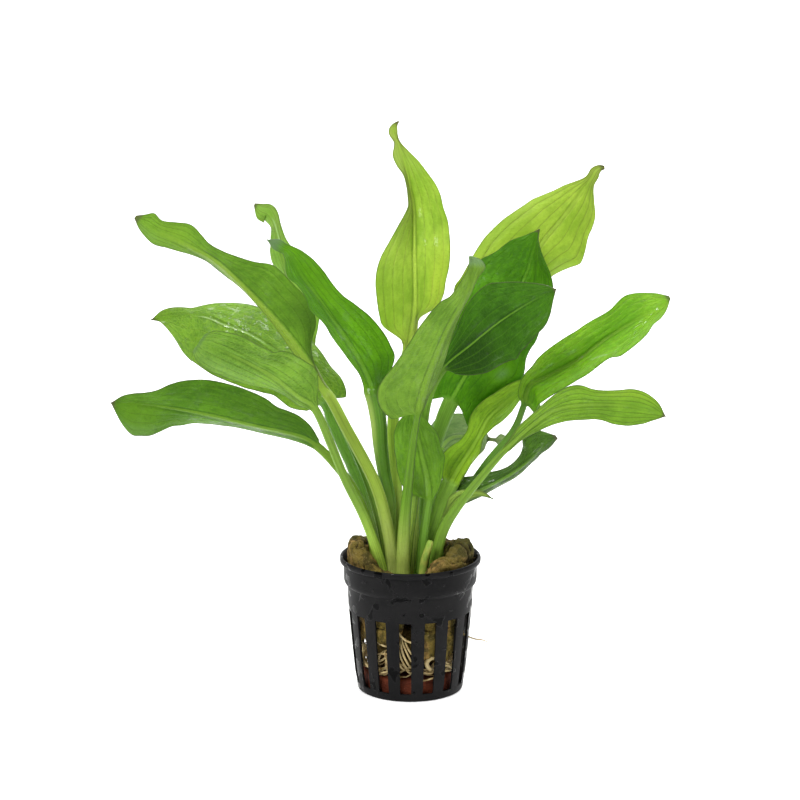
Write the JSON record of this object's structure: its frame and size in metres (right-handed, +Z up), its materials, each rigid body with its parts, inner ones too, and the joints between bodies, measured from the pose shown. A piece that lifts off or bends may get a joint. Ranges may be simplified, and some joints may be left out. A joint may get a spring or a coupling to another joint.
{
  "type": "potted echinodorus",
  "caption": "Rosette of lance-shaped green leaves on long petioles, rooted in torn mineral wool inside a tapered black slotted net pot.",
  "frame": {"origin": "centre of the pot's underside, on the surface that the pot stands on", "axes": "+Z up along the pot's axis, -Y towards the viewer of the picture, +X to the viewer's right"},
  "size_m": [0.203, 0.108, 0.207],
  "materials": {
    "black_plastic": "satin",
    "fired_clay": "matte",
    "mineral_wool": "matte",
    "pale_root": "satin",
    "crown_flesh": "satin",
    "cut_petiole": "satin",
    "bright_leaf": "satin",
    "green_leaf": "gloss",
    "dark_leaf": "gloss",
    "pale_leaf": "satin"
  },
  "bodies": {
    "root": {"pot": "black_plastic", "clay_disc": "fired_clay", "rock_wool_left": "mineral_wool", "rock_wool_right": "mineral_wool", "crown": "crown_flesh", "root_tangle": "pale_root", "root_bunch_left": "pale_root", "root_bunch_right": "pale_root", "root_bunch_back": "pale_root", "root_stray": "pale_root", "petiole_stub": "cut_petiole", "leaf_upper_left": "green_leaf", "leaf_left_back_tall": "green_leaf", "leaf_left_back_wide": "green_leaf", "leaf_left_front": "green_leaf", "leaf_left_low": "green_leaf", "leaf_centre_left": "dark_leaf", "leaf_front": "green_leaf", "leaf_top": "bright_leaf", "leaf_upper_right": "bright_leaf", "leaf_right_back_broad": "dark_leaf", "leaf_right_front_broad": "dark_leaf", "leaf_right": "green_leaf", "leaf_right_low": "green_leaf", "leaf_right_inner": "green_leaf", "leaf_young_centre": "green_leaf", "leaf_back_right": "green_leaf", "leaf_back_far": "green_leaf", "leaf_curled": "dark_leaf", "leaf_fragment": "pale_leaf"}
  },
  "joints": []
}
